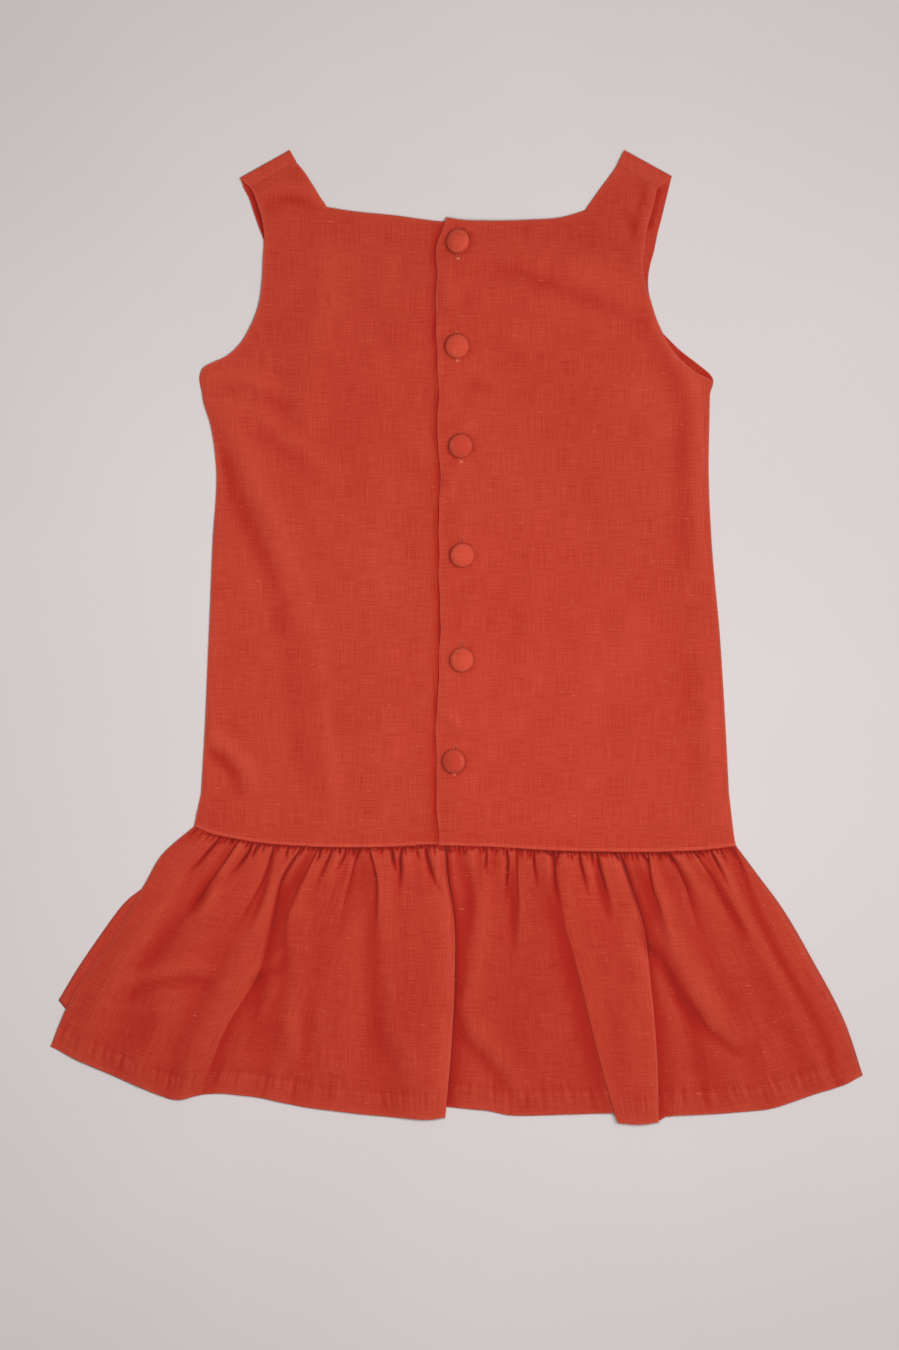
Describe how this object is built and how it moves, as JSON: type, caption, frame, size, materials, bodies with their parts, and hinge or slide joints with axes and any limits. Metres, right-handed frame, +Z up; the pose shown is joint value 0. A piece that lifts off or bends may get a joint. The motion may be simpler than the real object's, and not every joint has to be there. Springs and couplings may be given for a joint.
{
  "type": "sarafan dress",
  "caption": "Child's sleeveless linen dress with a dropped waist and gathered flounce, laid flat with its buttoned back up.",
  "frame": {"origin": "centre of the laid dress's outline, on the surface that it lies on", "axes": "+Z up from the surface, +Y from the hem towards the shoulders, +X to the right as seen from above"},
  "size_m": [0.5036, 0.6037, 0.0114],
  "materials": {
    "linen": "matte",
    "covered_button": "satin"
  },
  "bodies": {
    "root": {"front_bodice": "linen", "skirt_front": "linen", "back_left": "linen", "back_right": "linen", "skirt_back": "linen", "button_1": "covered_button", "button_2": "covered_button", "button_3": "covered_button", "button_4": "covered_button", "button_5": "covered_button", "button_6": "covered_button"}
  },
  "joints": []
}
